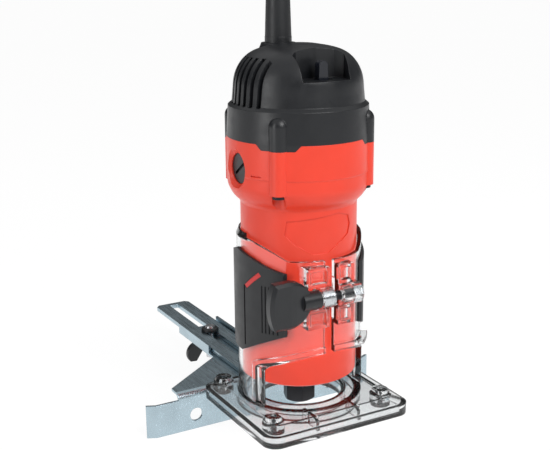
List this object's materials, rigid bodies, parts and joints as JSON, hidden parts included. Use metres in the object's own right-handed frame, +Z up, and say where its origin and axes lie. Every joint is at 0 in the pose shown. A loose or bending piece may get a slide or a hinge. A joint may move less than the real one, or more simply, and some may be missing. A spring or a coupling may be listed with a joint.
{
  "type": "trim router",
  "caption": "Corded trim router: a motor unit clamped in a clear depth base with a thumb screw, a collet below, a top switch, and a straight guide on a slotted arm.",
  "frame": {"origin": "on the spindle axis, on the underside of the sole plate", "axes": "+Z up the spindle, +X right for a person facing the depth clamp, +Y back along the guide's arm"},
  "size_m": [0.2098, 0.2437, 0.3384],
  "materials": {
    "clear_plastic": "water-clear polycarbonate, polished",
    "red_plastic": "moulded, satin with a fine texture",
    "black_plastic": "moulded, fine texture",
    "black_rubber": "soft overmould",
    "red_inlay": "satin",
    "zinc_steel": "blue zinc plated sheet",
    "bright_steel": "turned and zinc plated",
    "black_steel": "black oxide",
    "core_steel": "stacked laminations",
    "copper": "enamelled copper wire and bars",
    "fan_plastic": "glass-filled nylon",
    "carbon": "pressed carbon",
    "pin_brass": "nickel plated brass"
  },
  "bodies": {
    "base": {"clear_base": "clear_plastic", "sole_plate": "clear_plastic", "sole_screws": "black_steel", "left_grip_pad": "black_rubber", "right_grip_pad": "black_rubber", "grip_inlays": "red_inlay", "clamp_ferrule": "bright_steel", "clamp_nut": "bright_steel", "guide_arm": "zinc_steel", "arm_insert": "pin_brass", "cord_tail": "black_rubber", "cord_hank": "black_rubber", "plug_body": "black_rubber", "plug_pins": "pin_brass"},
    "motor": {"motor_housing": "red_plastic", "rear_cap": "black_plastic", "cap_screws": "black_steel", "cord_guard": "black_rubber", "cord_clamp": "black_plastic", "switch_body": "black_plastic", "stator_core": "core_steel", "field_coils": "copper", "fan_baffle": "black_plastic", "front_bearing_outer_ring": "bright_steel", "front_bearing_balls": "bright_steel", "rear_bearing_outer_ring": "bright_steel", "rear_bearing_balls": "bright_steel", "bearing_rubber": "black_rubber", "bearing_bracket": "black_plastic", "brush_holders": "pin_brass", "carbon_brushes": "carbon", "brush_springs": "bright_steel", "brush_caps": "black_plastic", "cord_lead": "black_rubber"},
    "spindle": {"armature_shaft": "bright_steel", "collet": "bright_steel", "rotor_core": "core_steel", "armature_windings": "copper", "commutator": "copper", "cooling_fan": "fan_plastic", "front_bearing_inner_ring": "bright_steel", "rear_bearing_inner_ring": "bright_steel"},
    "collet_nut": {"collet_nut": "black_steel"},
    "switch_lever": {"switch_lever": "black_plastic"},
    "clamp_thumb_screw": {"clamp_screw": "black_steel", "clamp_paddle": "black_plastic"},
    "guide": {"guide_plate": "zinc_steel", "guide_bolt": "bright_steel", "guide_washer": "black_steel"},
    "wing_nut": {"wing_nut": "black_plastic"},
    "arm_knob": {"arm_knob": "black_plastic"}
  },
  "joints": [
    {"name": "motor_depth", "type": "slide", "parent": "base", "child": "motor", "axis": [0, 0, 1], "range_m": [-0.008, 0.03]},
    {"name": "spindle_spin", "type": "hinge", "parent": "motor", "child": "spindle", "pos_m": [0, 0, 0.09], "axis": [0, 0, 1], "continuous": true},
    {"name": "collet_nut_turn", "type": "hinge", "parent": "spindle", "child": "collet_nut", "pos_m": [0, 0, 0.008], "axis": [0, 0, 1], "continuous": true},
    {"name": "switch_tilt", "type": "hinge", "parent": "motor", "child": "switch_lever", "pos_m": [0, -0.023, 0.182], "axis": [0, 1, 0], "range_deg": [0, 24]},
    {"name": "clamp_turn", "type": "hinge", "parent": "base", "child": "clamp_thumb_screw", "pos_m": [-0.02, -0.0395, 0.0748], "axis": [1, 0, 0], "continuous": true},
    {"name": "guide_slide", "type": "slide", "parent": "base", "child": "guide", "axis": [0, 1, 0], "range_m": [-0.004, 0.05]},
    {"name": "wing_nut_turn", "type": "hinge", "parent": "guide", "child": "wing_nut", "pos_m": [0, 0.117, -0.006], "axis": [0, 0, 1], "continuous": true},
    {"name": "arm_knob_turn", "type": "hinge", "parent": "base", "child": "arm_knob", "pos_m": [0, 0.044, 0.013], "axis": [0, 1, 0], "continuous": true}
  ]
}
